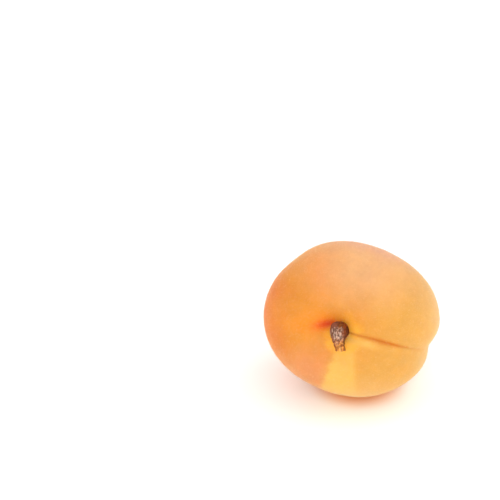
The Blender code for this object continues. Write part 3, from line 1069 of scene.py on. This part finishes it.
def hair_roots(skin, hairs):
    """For each hair its root, three directions there, and the way from its root to its tip."""
    draw = np.random.default_rng(hairs.seed)
    areas, centres, normals = face_shapes(skin.data)
    chosen = draw.choice(len(areas), hairs.count, p=areas / areas.sum())
    roots, up = centres[chosen], normals[chosen]
    beside = np.cross(up, draw.normal(size=(hairs.count, 3)))
    beside /= np.linalg.norm(beside, axis=1)[:, None]
    across = np.cross(up, beside)
    spread = np.sqrt(areas[chosen]) / 2
    roots = roots + beside * (spread * draw.uniform(-1, 1, hairs.count))[:, None]
    roots = roots + across * (spread * draw.uniform(-1, 1, hairs.count))[:, None]
    lengths = hairs.length * draw.uniform(*HAIR_LENGTHS, hairs.count)
    lean = hairs.lean * draw.uniform(*HAIR_LEANS, hairs.count)
    way = up * np.cos(lean)[:, None] + beside * np.sin(lean)[:, None]
    return roots, up, beside, across, way * lengths[:, None]


def hair_coat(skin, hairs):
    """One mesh of slim spikes, three sides and a foot each."""
    roots, up, beside, across, hair = hair_roots(skin, hairs)
    roots = roots - up * hairs.thickness
    tips = roots + hair
    above = tips[:, 2] > HAIR_ABOVE_FLOOR
    roots, beside, across, tips = (part[above] for part in (roots, beside, across, tips))
    feet = []
    for turn in (0.0, 2 * math.pi / 3, 4 * math.pi / 3):
        out = beside * math.cos(turn) + across * math.sin(turn)
        feet.append(roots + out * hairs.thickness / 2)
    points = np.stack([*feet, tips], axis=1).reshape(-1, 3)
    first = np.arange(len(roots))[:, None, None] * 4
    faces = first + np.array([[0, 1, 3], [1, 2, 3], [2, 0, 3], [0, 2, 1]])[None]
    return smooth_object("hairs", points, faces.reshape(-1, 3).tolist())


class APRICOT_OT_hairs(bpy.types.Operator):
    """Grow the coat of short hairs on the skin"""

    bl_idname = "apricot.hairs"
    bl_label = "Hairs"
    bl_options = {"REGISTER", "UNDO"}

    def execute(self, context):
        hairs = context.scene.apricot_hairs
        piece = hair_coat(bpy.data.objects["skin"], hairs)
        give(piece, hair_material(hairs))
        return {"FINISHED"}


def add_floor(studio):
    """A wide white floor, with a painted warm glow round the fruit for its shadow and bounced light."""
    corners = [(x * FLOOR_HALF, y * FLOOR_HALF, 0) for x, y in ((-1, -1), (1, -1), (1, 1), (-1, 1))]
    mesh = bpy.data.meshes.new("floor")
    mesh.from_pydata(corners, [], [(0, 1, 2, 3)])
    graph = Graph("floor_white_painted_glow")
    place = graph.add("TexCoord", "Object", {})
    away = graph.add("VectorMath", "Value", {0: place, 1: PAINTED_GLOW_MIDDLE}, operation="DISTANCE")
    white = graph.mix(graph.rise(away, *PAINTED_GLOW_REACH), studio.floor, studio.floor_painted_glow)
    graph.sets(Base_Color=white, Roughness=0.9, Specular_IOR_Level=0.1)
    mesh.materials.append(graph.material)
    floor = bpy.data.objects.new("floor", mesh)
    bpy.context.scene.collection.objects.link(floor)


def add_sky(studio):
    """Even light from all round."""
    world = bpy.data.worlds.new("surround")
    world.use_nodes = True
    background = world.node_tree.nodes["Background"]
    background.inputs["Color"].default_value = (*studio.sky, 1.0)
    background.inputs["Strength"].default_value = studio.sky_strength
    bpy.context.scene.world = world


def add_light(name, place, watts, size):
    """A soft round light that points at the fruit."""
    light = bpy.data.lights.new(name, "AREA")
    light.shape = "DISK"
    light.size = size
    light.energy = watts
    lamp = bpy.data.objects.new(name, light)
    lamp.location = place
    aim = Vector(LIGHTS_AIM) - lamp.location
    lamp.rotation_euler = aim.to_track_quat("-Z", "Y").to_euler()
    bpy.context.scene.collection.objects.link(lamp)


def add_camera(studio, middle):
    """The camera, in front of a place and above it."""
    data = bpy.data.cameras.new("camera")
    data.sensor_width = 36.0
    data.lens = studio.focal_length * 1000
    camera = bpy.data.objects.new("camera", data)
    back = Vector((0, -math.cos(studio.rise), math.sin(studio.rise)))
    camera.location = middle + back * studio.distance
    camera.rotation_euler = (math.pi / 2 - studio.tilt, 0, studio.pan)
    bpy.context.scene.collection.objects.link(camera)
    bpy.context.scene.camera = camera


class APRICOT_OT_studio(bpy.types.Operator):
    """Set up the floor, the lights and the camera"""

    bl_idname = "apricot.studio"
    bl_label = "Studio"
    bl_options = {"REGISTER", "UNDO"}

    def execute(self, context):
        studio = context.scene.apricot_studio
        shift = pose()[1]
        add_floor(studio)
        add_sky(studio)
        add_light("key", KEY_PLACE, studio.key_power, studio.key_size)
        add_light("fill", FILL_PLACE, studio.fill_power, studio.fill_size)
        add_camera(studio, Vector(shift) + Vector(CAMERA_SHIFT))
        context.scene.view_settings.view_transform = "Standard"
        return {"FINISHED"}


class APRICOT_PT_sidebar(bpy.types.Panel):
    """Sizes, colours and buttons"""

    bl_idname = "APRICOT_PT_sidebar"
    bl_label = "Apricot"
    bl_space_type = "VIEW_3D"
    bl_region_type = "UI"
    bl_category = "Apricot"

    def draw(self, context):
        for group, operator in GROUPS:
            box = self.layout.box()
            settings = getattr(context.scene, group)
            for name in settings.__annotations__:
                box.prop(settings, name)
            box.operator(operator)


GROUPS = (
    ("apricot_skin", "apricot.skin"),
    ("apricot_stem", "apricot.stem"),
    ("apricot_hairs", "apricot.hairs"),
    ("apricot_studio", "apricot.studio"),
)
SETTINGS = (ApricotSkin, ApricotStem, ApricotHairs, ApricotStudio)
CLASSES = (
    *SETTINGS,
    APRICOT_OT_skin,
    APRICOT_OT_stem,
    APRICOT_OT_hairs,
    APRICOT_OT_studio,
    APRICOT_PT_sidebar,
)


def register():
    """Makes the operators, the panel and the settings known."""
    for cls in CLASSES:
        bpy.utils.register_class(cls)
    for (group, _), settings in zip(GROUPS, SETTINGS):
        setattr(bpy.types.Scene, group, PointerProperty(type=settings))


def unregister():
    """Takes away what register made."""
    for group, _ in GROUPS:
        delattr(bpy.types.Scene, group)
    for cls in reversed(CLASSES):
        bpy.utils.unregister_class(cls)


def main():
    """Makes the apricot and its studio."""
    register()
    bpy.ops.apricot.skin()
    bpy.ops.apricot.stem()
    bpy.ops.apricot.hairs()
    bpy.ops.apricot.studio()


if __name__ == "__main__":
    main()
